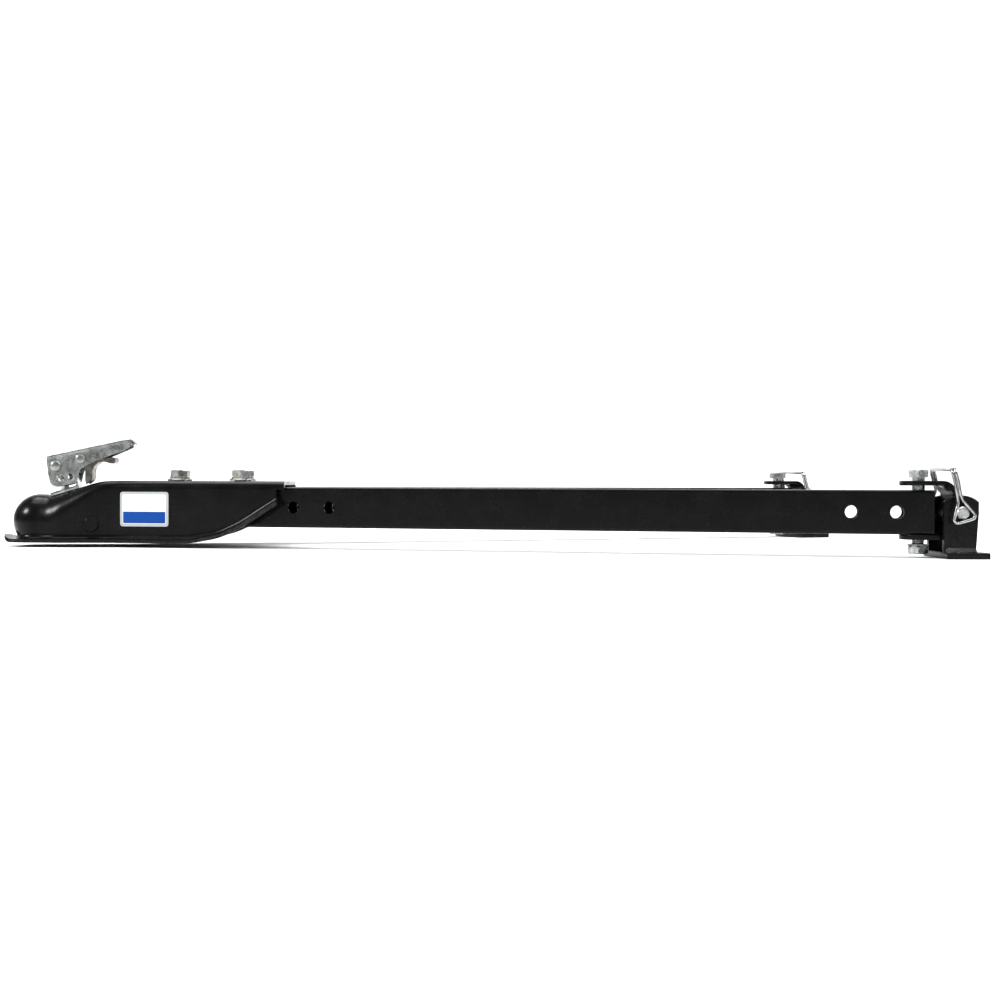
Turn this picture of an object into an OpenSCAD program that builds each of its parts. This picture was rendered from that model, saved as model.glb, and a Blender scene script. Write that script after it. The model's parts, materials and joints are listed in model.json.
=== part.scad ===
/* [Coupler] */
// Radius of the ball socket, for a 2 inch ball
socket_r = 25.8; // [25.6:0.1:26]
// Thickness of the pressed steel
shell_t = 4.2; // [3:0.1:5]
// Height of the flat roof above the ball centre
roof_z = 45.5; // [44:0.5:48]
// Depth of the bottom rim below the ball centre
rim_depth = 24; // [22:0.5:25]
// Distance from the ball centre to the rear of the side walls
wall_rear_x = 272; // [268:1:276]
// Half width of the body where its sides are parallel
body_half_w = 36; // [35:0.5:38]
// Half width of the body at its rear end
rear_half_w = 82; // [81:0.5:90]

/* [Arms] */
// Distance from the ball centre to the arm pivots
pivot_x = 156; // [150:1:160]
// Distance of each arm pivot from the centre line
pivot_y = 22; // [22:0.5:26]
// Angle of each arm to the centre line
arm_angle = 16.5; // [12:0.5:17]
// Distance from the pivot bolt to the end bolt
arm_len = 804.5; // [600:0.5:900]
// Width of the arm tube
tube_w = 31.75; // [25.4:0.05:32]
// Height of the arm tube
tube_h = 44.45; // [40:0.05:46]
// Wall of the arm tube
tube_t = 3.2; // [2:0.1:4]
// Distance from the pivot bolt to the lock bolt
lock_r = 74.5; // [70:0.5:78]
// Radius of the cross holes in the tube sides
side_hole_r = 6.6; // [5:0.1:8]

/* [Yokes and brackets] */
// Angle of the near yoke to its arm
near_yoke_angle = 13.5; // [0:0.5:20]
// Angle of the far yoke to its arm
far_yoke_angle = 2; // [0:0.5:20]
// Thickness of the yoke strap
strap_t = 4.8; // [4:0.1:6]
// Width of the yoke strap
strap_w = 37; // [34:0.5:38]
// Distance from the end bolt to the hitch pin
pin_x = 35; // [34:0.5:38]
// Radius of the hitch pins and end bolts
half_inch_r = 6.35; // [6:0.05:6.35]
// Width of the base plate
plate_w = 70; // [60:1:80]
// Thickness of the base plate
plate_t = 6.35; // [5:0.05:8]
// Height of the hitch pin above the underside of the base plate
pin_height = 45.6; // [45:0.1:50]
// Height of the bail's bar above the hitch pin
bail_h = 44.5; // [40:0.5:46]
// Forward lean of the bail
bail_lean = 15; // [10:0.5:16]

/* [Hidden] */

$fn = 48;
eps = 0.01;         // overlap that keeps a cut clean
gap = 0.3;          // clearance between bodies that move past each other
run = 0.07;         // radial running clearance of a pin in its hole

// Coupler body
dome_r = socket_r + shell_t;
slope_x0 = 13.4;    // where the sloping roof leaves the dome
slope_z0 = 27.2;
slope_x1 = 73.5;    // where it meets the flat roof
slope_a = atan2(roof_z - slope_z0, slope_x1 - slope_x0);
flare_x = 87;       // where the side walls start to spread
rim_w = 8;          // how far the bottom rim stands out
rim_t = 3.6;
roof_rear_x = wall_rear_x + 9;
tongue_half_w = rear_half_w - 3;
flare_k = (rear_half_w - body_half_w) / (wall_rear_x - flare_x);
roof_under_z = roof_z - shell_t;
clamp_pin_x = 63.5;
clamp_pin_z = -3.5;
clamp_pin_r = 6;

// Hardware, in 3/8 inch and 1/2 inch
bolt_r = 4.76;
bolt_af = 14.3;
bolt_head_h = 7.4;
washer_r = 10.3;
washer_t = 2.1;
lock_washer_r = 8;
lock_washer_t = 2.7;
spacer_t = 2.2;
end_af = 19.05;
end_head_h = 7.9;
end_flange_r = 10.9;

// Arms
tube_top_z = roof_under_z - spacer_t - gap;
tube_mid_z = tube_top_z - tube_h / 2;
tube_bottom_z = tube_top_z - tube_h;
tube_front = 15;    // tube ahead of the pivot bolt
tube_rear = 14.5;   // tube behind the end bolt
tube_corner_r = 3;
front_holes = [145, 186.5];
rear_holes = [arm_len - 65.5, arm_len - 21.5];
slot_play = 0.35;
swing_in = 12;      // how far an arm folds towards the centre line
swing_out = 1;
nut_h = 8.2;

// Yokes
top_gap = 4.6;      // space between the tube and the upper leg
bottom_gap = 0.4;
leg_top_z = tube_top_z + top_gap + strap_t;
leg_low_z = tube_bottom_z - bottom_gap - strap_t;
web_x = 33.5;       // rear face of the web, behind the end bolt
bend_r = 14.6;
sleeve_r = 10;
end_head_z = leg_top_z + 3.3;
end_nut_z = leg_low_z - 4.5;

// Brackets, measured from the hitch pin
ear_gap = strap_w + 2.2;
ear_t = 6;
ear_half = 17.3;
ear_top_r = 25.7;   // flatter than a half circle, with a shoulder at each side
plate_front = -17.5;
plate_rear = 25.5;
plate_hole_r = 5.2;
plate_hole_y = 9.5;
plate_hole_x = 13;
pin_half = 30.5;
wire_r = 1.5;
bail_y = pin_half + wire_r + 0.8;
bail_pivot_y = 28;

// Latch, on the stem's axis through the sloping roof
lever_x = 19.4;     // lever rivet
lever_z = 61.6;
trigger_x = 46.8;   // trigger rivet
trigger_z = 69.6;
lever_half_w = 14;
lever_t = 3;
lever_rivet_r = 4;
trigger_rivet_r = 3.4;
stem_r = 4.75;
n_x = -sin(slope_a);
n_z = cos(slope_a);
// Height of the lever rivet above the sloping roof, along the stem
lever_rise = (lever_x - slope_x0) * n_x + (lever_z - slope_z0) * n_z;
saddle_t = 4;

STEEL_BLACK = [0.08, 0.08, 0.085];
ZINC = [0.78, 0.79, 0.8];

// ---- helpers ----

// Extrudes an outline drawn in X and Z by w along Y, centred on y
module side_plate(w, y = 0) {
    translate([0, y + w / 2, 0]) rotate([90, 0, 0]) linear_extrude(height = w) children();
}

// Cylinder along Y, centred on the point
module cross_pin(r, l, x = 0, z = 0, y = 0) {
    translate([x, y + l / 2, z]) rotate([90, 0, 0]) cylinder(r = r, h = l);
}

// Hexagon of width af across its flats
module hex_prism(af, h) {
    cylinder(r = af / sqrt(3), h = h, $fn = 6);
}

// Hexagon head with its corners turned off at the top
module hex_head(af, h) {
    intersection() {
        hex_prism(af, h);
        cylinder(r1 = af / 2 + h, r2 = af / 2, h = h);
    }
}

module ring(r_out, r_in, h) {
    difference() {
        cylinder(r = r_out, h = h);
        translate([0, 0, -eps]) cylinder(r = r_in, h = h + 2 * eps);
    }
}

// Places its children on the near arm: X along the arm from its pivot
module on_near_arm() {
    translate([pivot_x, -pivot_y, 0]) rotate([0, 0, -arm_angle]) children();
}

module on_side(far) {
    if (far) mirror([0, 1, 0]) on_near_arm() children();
    else on_near_arm() children();
}

// Places its children on a yoke: X from the end bolt towards the hitch pin
module on_yoke(far) {
    on_side(far) translate([arm_len, 0, 0])
        rotate([0, 0, far ? far_yoke_angle : near_yoke_angle]) children();
}

// Places its children on a hitch pin, with the pin's axis along Y
module on_pin(far) {
    on_yoke(far) translate([pin_x, 0, tube_mid_z]) children();
}

// Places its children on the latch stem: Z along the stem, 0 at the sloping roof
module on_stem() {
    translate([lever_x - n_x * lever_rise, 0, lever_z - n_z * lever_rise])
        rotate([0, -slope_a, 0]) children();
}

// ---- round wire swept along a list of points ----

function unit(v) = v / norm(v);
function tangent(p, i) =
    unit((i == 0 ? p[1] - p[0] : unit(p[i] - p[i - 1]))
       + (i == len(p) - 1 ? p[i] - p[i - 1] : unit(p[i + 1] - p[i])));
function across(v, t) = unit(v - (v * t) * t);
function frames(p, i, v) = i == len(p) ? [] :
    let (w = across(v, tangent(p, i))) concat([w], frames(p, i + 1, w));

module wire(p, r, start, sides = 10) {
    side = frames(p, 0, start);
    points = [for (i = [0:len(p) - 1])
        let (t = tangent(p, i), u = side[i], v = cross(t, u))
        for (k = [0:sides - 1]) let (a = 360 * k / sides) p[i] + r * (cos(a) * u + sin(a) * v)];
    last = (len(p) - 1) * sides;
    walls = [for (i = [0:len(p) - 2], k = [0:sides - 1]) let (m = (k + 1) % sides)
        [i * sides + k, i * sides + m, (i + 1) * sides + m, (i + 1) * sides + k]];
    ends = [[for (k = [sides - 1:-1:0]) k], [for (k = [0:sides - 1]) last + k]];
    faces = [for (f = concat(walls, ends)) [for (j = [len(f) - 1:-1:0]) f[j]]];
    polyhedron(points = points, faces = faces);
}

// ---- coupler ----

// Half outline of the body seen from above, drawn in from its outside by d
function plan_edge(d) = [
    [2, dome_r - 0.6 - d], [12, dome_r + 1 - d], [30, body_half_w - d], [flare_x, body_half_w - d],
    [roof_rear_x + 5, body_half_w + flare_k * (roof_rear_x + 5 - flare_x) - d * sqrt(1 + flare_k * flare_k)]
];

module plan(d) {
    half = plan_edge(d);
    polygon(concat(half, [for (i = [len(half) - 1:-1:0]) [half[i].x, -half[i].y]]));
}

// Bottom edge of the side walls: level, then sweeping up to the rear
wall_rise = 43;
wall_bottom = [[150, 0], [179, 0.7], [208.6, 6.2], [233, 17.7], [wall_rear_x, wall_rise]];

// Side view of the body between its bottom edge and its roof
module side_view(roof_drop, floor_drop) {
    polygon(concat(
        [[-5, -rim_depth - floor_drop]],
        [for (p = wall_bottom) [p.x, p.y - rim_depth - floor_drop]],
        [[wall_rear_x + (floor_drop > 0 ? 20 : 0), wall_rise - rim_depth - floor_drop],
         [wall_rear_x + (floor_drop > 0 ? 20 : 0), roof_z - roof_drop],
         [slope_x1 + roof_drop * tan(slope_a / 2), roof_z - roof_drop],
         [slope_x0 + roof_drop * sin(slope_a), slope_z0 - roof_drop * cos(slope_a)],
         [-5, slope_z0 - roof_drop * 1.2]]));
}

module prism_z(z0, z1) {
    translate([0, 0, z0]) linear_extrude(height = z1 - z0) children();
}

// Solid of revolution under a quarter circle: the dome and its straight skirt
module dome(r, depth) {
    rotate_extrude($fn = 72) union() {
        intersection() { circle(r = r, $fn = 72); square([r + 1, r + 1]); }
        translate([0, -depth]) square([r, depth]);
    }
}

module body_block(d, roof_drop, floor_drop) {
    intersection() {
        prism_z(-rim_depth - 12, roof_z + 5) intersection() {
            plan(d);
            translate([0, -120]) square([wall_rear_x + 20, 240]);
        }
        side_plate(260) side_view(roof_drop, floor_drop);
    }
}

// Rim that stands out along the bottom edge of the dome and the sides
module rim() {
    intersection() {
        prism_z(-rim_depth - 1, roof_z) union() {
            circle(r = dome_r + rim_w + 1.3, $fn = 72);
            plan(-rim_w);
        }
        side_plate(260) polygon(concat(
            [[-60, -rim_depth]],
            [for (p = wall_bottom) [p.x, p.y - rim_depth]],
            [for (i = [len(wall_bottom) - 1:-1:0]) [wall_bottom[i].x, wall_bottom[i].y - rim_depth + rim_t]],
            [[-60, -rim_depth + rim_t]]));
    }
}

// Curved slot in the roof for one lock bolt, about the arm's pivot
module lock_slot() {
    r = bolt_r + slot_play;
    a0 = -arm_angle - swing_out - 0.4;
    a1 = -arm_angle + swing_in + 0.4;
    translate([pivot_x, -pivot_y, roof_z - shell_t - 1]) {
        rotate([0, 0, a0]) rotate_extrude(angle = a1 - a0, $fn = 96)
            translate([lock_r - r, 0]) square([2 * r, shell_t + 2]);
        for (a = [a0, a1]) rotate([0, 0, a]) translate([lock_r, 0, 0]) cylinder(r = r, h = shell_t + 2);
    }
}

module coupler_body() {
    color(STEEL_BLACK) difference() {
        union() {
            dome(dome_r, rim_depth);
            body_block(0, 0, 0);
            rim();
            // roof tongue behind the side walls
            translate([wall_rear_x - 1, -tongue_half_w, roof_under_z])
                cube([roof_rear_x - wall_rear_x + 1, 2 * tongue_half_w, shell_t]);
        }
        dome(socket_r, rim_depth + 5);
        body_block(shell_t, shell_t, 10);
        for (s = [-1, 1]) translate([pivot_x, s * pivot_y, roof_z - shell_t - 1])
            cylinder(r = bolt_r + 0.2, h = shell_t + 2);
        lock_slot();
        mirror([0, 1, 0]) lock_slot();
        cross_pin(clamp_pin_r + 0.05, 100, clamp_pin_x, clamp_pin_z);
        on_stem() translate([0, 0, -12]) cylinder(r = stem_r + 0.5, h = 24);
    }
}

// Rivet-like pin across the body that the ball clamp hangs on
module clamp_pivot_pin() {
    color(STEEL_BLACK) {
        cross_pin(clamp_pin_r, 2 * body_half_w, clamp_pin_x, clamp_pin_z);
        for (s = [-1, 1]) translate([clamp_pin_x, s * body_half_w, clamp_pin_z])
            rotate([-s * 90, 0, 0]) cylinder(r1 = 9, r2 = 7.4, h = 2.6);
    }
}

// Strip under the lever with an upright tab behind it
module latch_saddle() {
    color(ZINC) difference() {
        union() {
            on_stem() translate([-15.5, -10.5, 0]) cube([32.5, 21, saddle_t]);
            on_stem() translate([14, -9, 0]) cube([3, 18, 17]);
        }
        on_stem() translate([0, 0, -1]) cylinder(r = stem_r + 0.5, h = saddle_t + 2);
    }
}

module rating_label() {
    x = 96;
    a = atan(flare_k);
    color("silver") translate([x, -body_half_w - flare_k * (x - flare_x), -5.5])
        rotate([0, 0, -a]) translate([0, -0.5, 0]) cube([57.5, 0.5, 38.5]);
}

module at_pivots(z) {
    for (s = [-1, 1]) translate([pivot_x, s * pivot_y, z]) children();
}

module bolt(r, af, head_h, length) {
    hex_head(af, head_h);
    translate([0, 0, -length]) cylinder(r = r, h = length + eps);
}

head_z = roof_z + washer_t + lock_washer_t;
pivot_bolt_len = head_z - tube_bottom_z + nut_h + 2;

module pivot_bolts() {
    color(ZINC) at_pivots(head_z) rotate([0, 0, 12]) bolt(bolt_r, bolt_af, bolt_head_h, pivot_bolt_len);
}
module pivot_flat_washers() { color(ZINC) at_pivots(roof_z) ring(washer_r, bolt_r + 0.2, washer_t); }
module pivot_lock_washers() {
    color(ZINC) at_pivots(roof_z + washer_t) ring(lock_washer_r, bolt_r + 0.2, lock_washer_t);
}
module pivot_spacers() {
    color(ZINC) at_pivots(roof_under_z - spacer_t) ring(washer_r, bolt_r + 0.2, spacer_t);
}
module pivot_nuts() {
    color(ZINC) at_pivots(tube_bottom_z - gap - nut_h) difference() {
        union() {
            hex_prism(bolt_af, nut_h);
            translate([0, 0, nut_h - 2]) cylinder(r = 10, h = 2);
        }
        translate([0, 0, -1]) cylinder(r = bolt_r, h = nut_h + 2);
    }
}

// ---- latch ----

stem_low = -52;     // lower end of the stem, below the sloping roof
stem_nut_top = -42.5;
stem_washer_t = 2;

// Eye bolt that the lever pulls on
module latch_stem() {
    color(ZINC) difference() {
        union() {
            on_stem() translate([0, 0, stem_low]) cylinder(r = stem_r, h = lever_rise - stem_low - 5);
            on_stem() translate([0, 0, lever_rise - 13]) cylinder(r = 7.4, h = 8);
            cross_pin(9, 14, lever_x, lever_z);
        }
        cross_pin(lever_rivet_r, 30, lever_x, lever_z);
    }
}
module stem_washer() {
    color(ZINC) on_stem() translate([0, 0, stem_nut_top]) ring(9, stem_r, stem_washer_t);
}
module stem_nut() {
    color(ZINC) on_stem() translate([0, 0, stem_nut_top - 7]) difference() {
        hex_prism(bolt_af, 7);
        translate([0, 0, -1]) cylinder(r = stem_r, h = 9);
    }
}

// Compression spring between the roof and the ball clamp
spring_top = -shell_t - 0.4;
spring_low = -21.3;
module clamp_spring() {
    turns = 3.5;
    steps = 42;
    h = spring_top - spring_low - 2;
    color(ZINC) on_stem() wire(
        [for (i = [0:steps]) let (a = 360 * turns * i / steps)
            [7.2 * cos(a), 7.2 * sin(a), spring_low + 1 + h * i / steps]], 1, [1, 0, 0], 8);
}

module rivet(r, head_r, half, x, z) {
    cross_pin(r, 2 * half, x, z);
    for (s = [-1, 1]) translate([x, s * half, z]) rotate([-s * 90, 0, 0])
        cylinder(r1 = head_r, r2 = head_r - 1.6, h = 2.6);
}
module lever_rivet() { color(ZINC) rivet(lever_rivet_r - run, 6.4, lever_half_w + 0.2, lever_x, lever_z); }
module trigger_rivet() { color(ZINC) rivet(trigger_rivet_r - run, 6.1, lever_half_w, trigger_x, trigger_z); }

lever_outline = [
    [9.5, 72.6], [9.9, 67.3], [11, 52.8], [12.4, 45.4], [14, 41.5], [16.9, 38.8], [21.9, 37.9],
    [42.4, 43.2], [44.6, 52.8], [46.8, 58.7], [63.6, 67.4], [82.6, 74.8], [104.5, 84.5], [107, 88.4],
    [101.6, 93.1]
];
lever_skin = [
    [9.5, 72.6], [9.9, 69.6], [101, 89.9], [103.2, 88], [101.4, 86.6], [104.5, 84.5],
    [107, 88.4], [101.6, 93.1]
];

module latch_lever() {
    lip = 0.8;          // how far the folded top stands out past the sides
    tip_r = lever_half_w + lip;
    color(ZINC) difference() {
        intersection() {
            union() {
                for (s = [-1, 1]) side_plate(lever_t, s * (lever_half_w - lever_t / 2)) polygon(lever_outline);
                side_plate(2 * tip_r) polygon(lever_skin);
            }
            // the tip is round when seen from above
            prism_z(30, 100) {
                translate([0, -tip_r]) square([107 - tip_r, 2 * tip_r]);
                translate([107 - tip_r, 0]) circle(r = tip_r, $fn = 96);
            }
        }
        cross_pin(lever_rivet_r, 40, lever_x, lever_z);
        cross_pin(trigger_rivet_r - run, 40, trigger_x, trigger_z);
        cross_pin(4.3, 40, 24.1, 48.7);
        cross_pin(3.2, 40, 35.9, 49.8);
    }
}

module trigger_spring() {
    color(ZINC) translate([trigger_x, 3, trigger_z]) rotate([90, 0, 0]) ring(5.4, 3.9, 6);
}

trigger_outline = [
    [42.5, 66], [42, 71], [44.5, 75], [50.5, 75.4], [56, 72.4], [70, 71.6], [79, 72.2], [84, 71.6], [85.6, 68.4],
    [83.4, 65], [79.5, 64.8], [72, 67.2], [66, 65.8], [61.4, 62], [59.6, 57], [59.4, 48.6], [58, 45],
    [52.2, 40.9], [51.2, 46], [51.4, 58], [48.5, 63]
];

module latch_trigger() {
    w = 2 * (lever_half_w - lever_t) - 2 * gap;
    color(ZINC) difference() {
        side_plate(w) polygon(trigger_outline);
        cross_pin(trigger_rivet_r, 30, trigger_x, trigger_z);
        cross_pin(6.2, 7, trigger_x, trigger_z);
        // the foot is a fork, so only its two cheeks reach the roof
        translate([49, -6.5, 40]) cube([8, 13, 17]);
    }
}

// Swinging jaw behind the ball, hung on the cross pin
module ball_clamp() {
    half_w = 17;
    eye_r = 9;
    color(ZINC) difference() {
        union() {
            side_plate(2 * half_w) polygon([
                [18, -20], [24, -22], [34, -19], [52, -11.5], [clamp_pin_x, clamp_pin_z - eye_r],
                [clamp_pin_x + eye_r, clamp_pin_z], [clamp_pin_x, clamp_pin_z + eye_r],
                [50, 7], [42, 10.5], [30, 9.2], [24.6, 11], [18, 6]]);
            cross_pin(eye_r, 2 * half_w, clamp_pin_x, clamp_pin_z);
        }
        rotate_extrude($fn = 72) difference() {
            intersection() { circle(r = socket_r, $fn = 72); translate([0, -30]) square([30, 60]); }
            translate([-1, -31]) square([1, 62]);
        }
        translate([0, 0, -30]) cylinder(r = 20, h = 30);
        cross_pin(clamp_pin_r + run, 60, clamp_pin_x, clamp_pin_z);
        on_stem() translate([-10, -5.8, -60]) cube([19, 11.6, 60]);
        // pocket for the washer and nut, a little wider than they are
        on_stem() translate([-12, -20, -75]) cube([24, 40, 75 + stem_nut_top + stem_washer_t + gap]);
    }
}

// ---- arms ----

module round_rect(w, h, r) {
    intersection() {
        square([w, h], center = true);
        union() {
            square([w - 2 * r, h], center = true);
            square([w, h - 2 * r], center = true);
            for (a = [-1, 1], b = [-1, 1]) translate([a * (w / 2 - r), b * (h / 2 - r)])
                circle(r = r, $fn = 24);
        }
    }
}

module arm_tube(far) {
    length = tube_front + arm_len + tube_rear;
    color(STEEL_BLACK) on_side(far) difference() {
        translate([-tube_front, 0, tube_mid_z]) rotate([90, 0, 90]) linear_extrude(height = length)
            difference() {
                round_rect(tube_w, tube_h, tube_corner_r);
                square([tube_w - 2 * tube_t, tube_h - 2 * tube_t], center = true);
            }
        for (x = concat(front_holes, rear_holes)) cross_pin(side_hole_r, tube_w + 10, x, tube_mid_z);
        translate([0, 0, tube_bottom_z - 5]) cylinder(r = bolt_r + run, h = tube_h + 10);
        translate([lock_r, 0, tube_mid_z]) cylinder(r = bolt_r, h = tube_h);
        translate([arm_len, 0, tube_bottom_z - 5]) cylinder(r = half_inch_r + 0.1, h = tube_h + 10);
    }
}

// Lock bolt, held in a nut welded inside the top of the tube
lock_nut_h = 8;
module lock_bolt(far) {
    color(ZINC) on_side(far) translate([lock_r, 0, head_z + gap]) rotate([0, 0, 20])
        bolt(bolt_r, bolt_af, bolt_head_h, head_z + gap - tube_top_z + tube_t + lock_nut_h + 2);
}
module lock_washers(far) {
    color(ZINC) on_side(far) translate([lock_r, 0, roof_z + gap]) {
        ring(washer_r, bolt_r, washer_t);
        translate([0, 0, washer_t]) ring(lock_washer_r, bolt_r, lock_washer_t);
    }
}
module lock_nut(far) {
    color(ZINC) on_side(far) translate([lock_r, 0, tube_top_z - tube_t - lock_nut_h]) difference() {
        hex_prism(bolt_af, lock_nut_h);
        translate([0, 0, -1]) cylinder(r = bolt_r, h = lock_nut_h + 2);
    }
}

end_nut_h = 10;
module end_bolt(far) {
    color(ZINC) on_side(far) translate([arm_len, 0, end_head_z]) rotate([0, 0, 14])
        bolt(half_inch_r, end_af, end_head_h, end_head_z - end_nut_z + end_nut_h - 1);
}
module end_nut(far) {
    color(ZINC) on_side(far) translate([arm_len, 0, end_nut_z - end_nut_h]) difference() {
        union() {
            hex_prism(end_af, end_nut_h - 1);
            translate([0, 0, end_nut_h - 2.2]) cylinder(r = end_flange_r, h = 2.2);
        }
        translate([0, 0, -1]) cylinder(r = half_inch_r, h = end_nut_h + 2);
    }
}

// ---- yokes ----

// Side view of the strap's block, drawn in by d: two legs joined by a web with round corners
module strap_block(d) {
    r = bend_r - d;
    x1 = web_x - d;
    z0 = leg_low_z + d;
    z1 = leg_top_z - d;
    translate([-40, z0]) square([40 + x1 - r, z1 - z0]);
    translate([-40, z0 + r]) square([40 + x1, z1 - z0 - 2 * r]);
    for (z = [z0 + r, z1 - r]) translate([x1 - r, z]) circle(r = r, $fn = 48);
}

module strap_plan() {
    circle(r = strap_w / 2, $fn = 64);
    translate([0, -strap_w / 2]) square([web_x + 5, strap_w]);
}

module yoke(far) {
    color(STEEL_BLACK) on_yoke(far) difference() {
        intersection() {
            side_plate(strap_w) difference() {
                strap_block(0);
                strap_block(strap_t);
            }
            prism_z(leg_low_z - 1, leg_top_z + 1) strap_plan();
        }
        translate([0, 0, leg_low_z - 5]) cylinder(r = half_inch_r + run, h = leg_top_z - leg_low_z + 10);
        cross_pin(sleeve_r, strap_w + 2, pin_x, tube_mid_z);
    }
}

module yoke_sleeve(far) {
    color(STEEL_BLACK) on_pin(far) difference() {
        cross_pin(sleeve_r, strap_w);
        cross_pin(half_inch_r + run, strap_w + 2);
    }
}

// ---- base brackets ----

module base_plate(far) {
    color(STEEL_BLACK) on_pin(far) difference() {
        translate([plate_front, -plate_w / 2, -pin_height])
            cube([plate_rear - plate_front, plate_w, plate_t]);
        for (s = [-1, 1]) translate([plate_hole_x, s * plate_hole_y, -pin_height - 1])
            cylinder(r = plate_hole_r, h = plate_t + 2);
    }
}

module ear_view() {
    intersection() {
        translate([0, ear_half - ear_top_r]) circle(r = ear_top_r, $fn = 96);
        translate([-ear_half, -1]) square([2 * ear_half, ear_half + 2]);
    }
    foot_z = plate_t - pin_height;
    polygon([[-ear_half, 0], [ear_half, 0], [ear_half - 2.5, foot_z], [-ear_half, foot_z]]);
}

module bracket_ears(far) {
    color(STEEL_BLACK) on_pin(far) for (s = [-1, 1]) difference() {
        side_plate(ear_t, s * (ear_gap + ear_t) / 2) ear_view();
        cross_pin(half_inch_r + run, 100);
    }
}

// Fillet welds along the outside of each ear
module bracket_welds(far) {
    leg = 5;
    z = plate_t - pin_height;
    color(STEEL_BLACK) on_pin(far) for (s = [-1, 1])
        translate([-ear_half + 1, s * (ear_gap / 2 + ear_t), z]) rotate([90, 0, 90])
            linear_extrude(height = 2 * ear_half - 4) polygon([[0, 0], [s * leg, 0], [0, leg]]);
}

module hitch_pin(far) {
    color(ZINC) on_pin(far) difference() {
        union() {
            cross_pin(half_inch_r, 2 * pin_half - 3);
            for (s = [-1, 1]) translate([0, s * (pin_half - 1.5), 0]) rotate([-s * 90, 0, 0])
                cylinder(r1 = half_inch_r, r2 = half_inch_r - 1.5, h = 1.5);
        }
        // cross hole for the bail's end
        rotate([0, -bail_lean, 0]) translate([-15, bail_pivot_y, 0]) rotate([0, 90, 0])
            cylinder(r = wire_r + run, h = 30, $fn = 24);
    }
}

// Points round a bend from direction a0 to a1, in the plane of u and v
function bend(c, r, a0, a1, u, v, n = 4) =
    [for (i = [0:n]) let (a = a0 + (a1 - a0) * i / n) c + r * (cos(a) * u + sin(a) * v)];

// Wire bail, bent double: its ends meet in the pin's cross hole, and its fold is a three-cornered loop
X = [1, 0, 0];
Y = [0, 1, 0];
Z = [0, 0, 1];
bail_r = 5;
pair_x = wire_r + 0.1;
far_leg = [[-1.7, 0], [-6.5, 0], [-8.4, 0.9], [-9.1, 3], [-9.1, 10], [-8.2, 13], [-2.9, 20.8], [-pair_x, 24]];
first_wire = concat(
    [for (p = far_leg) [p[0], bail_pivot_y, p[1]]],
    bend([-pair_x, bail_pivot_y - bail_r, bail_h - bail_r], bail_r, 0, 90, Y, Z),
    bend([-pair_x, -bail_y + bail_r, bail_h - bail_r], bail_r, 90, 180, Y, Z)
);
bail_loop = [
    [-1.7, 32], [-2.5, 20], [-3.4, 12], [-11, -2.3], [-11.6, -4.9], [-10.2, -7.4], [-7.4, -8.4],
    [5.4, -8], [8, -7], [9.3, -4.8], [8.8, -2.2], [1.7, 12], [0.8, 20.5], [1.6, 30]
];
second_wire = [for (i = [len(first_wire) - 1:-1:0]) let (p = first_wire[i]) [-p[0], p[1], p[2]]];
bail_path = concat(first_wire, [for (p = bail_loop) [p[0], -bail_y, p[1]]], second_wire);

module bail(far) {
    color(ZINC) on_pin(far) rotate([0, -bail_lean, 0]) wire(bail_path, wire_r, Z, 10);
}

coupler_body();
clamp_pivot_pin();
latch_saddle();
rating_label();
pivot_bolts();
pivot_flat_washers();
pivot_lock_washers();
pivot_spacers();
pivot_nuts();
latch_stem();
stem_washer();
stem_nut();
clamp_spring();
lever_rivet();
latch_lever();
trigger_rivet();
trigger_spring();
latch_trigger();
ball_clamp();
arm_tube(false);  // near_arm_tube
lock_bolt(false);  // near_lock_bolt
lock_washers(false);  // near_lock_washers
lock_nut(false);  // near_lock_nut
end_bolt(false);  // near_end_bolt
end_nut(false);  // near_end_nut
yoke(false);  // near_yoke
yoke_sleeve(false);  // near_yoke_sleeve
base_plate(false);  // near_base_plate
bracket_ears(false);  // near_bracket_ears
bracket_welds(false);  // near_bracket_welds
hitch_pin(false);  // near_hitch_pin
bail(false);  // near_bail
arm_tube(true);  // far_arm_tube
lock_bolt(true);  // far_lock_bolt
lock_washers(true);  // far_lock_washers
lock_nut(true);  // far_lock_nut
end_bolt(true);  // far_end_bolt
end_nut(true);  // far_end_nut
yoke(true);  // far_yoke
yoke_sleeve(true);  // far_yoke_sleeve
base_plate(true);  // far_base_plate
bracket_ears(true);  // far_bracket_ears
bracket_welds(true);  // far_bracket_welds
hitch_pin(true);  // far_hitch_pin
bail(true);  // far_bail
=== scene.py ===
"""Looks of an adjustable V tow bar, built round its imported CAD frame.

Lengths are in millimetres, and are multiplied by MM where a mesh or a modifier is made.
"""
import json
import math
import bmesh
import bpy
from mathutils import Matrix, Vector, noise

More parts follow.
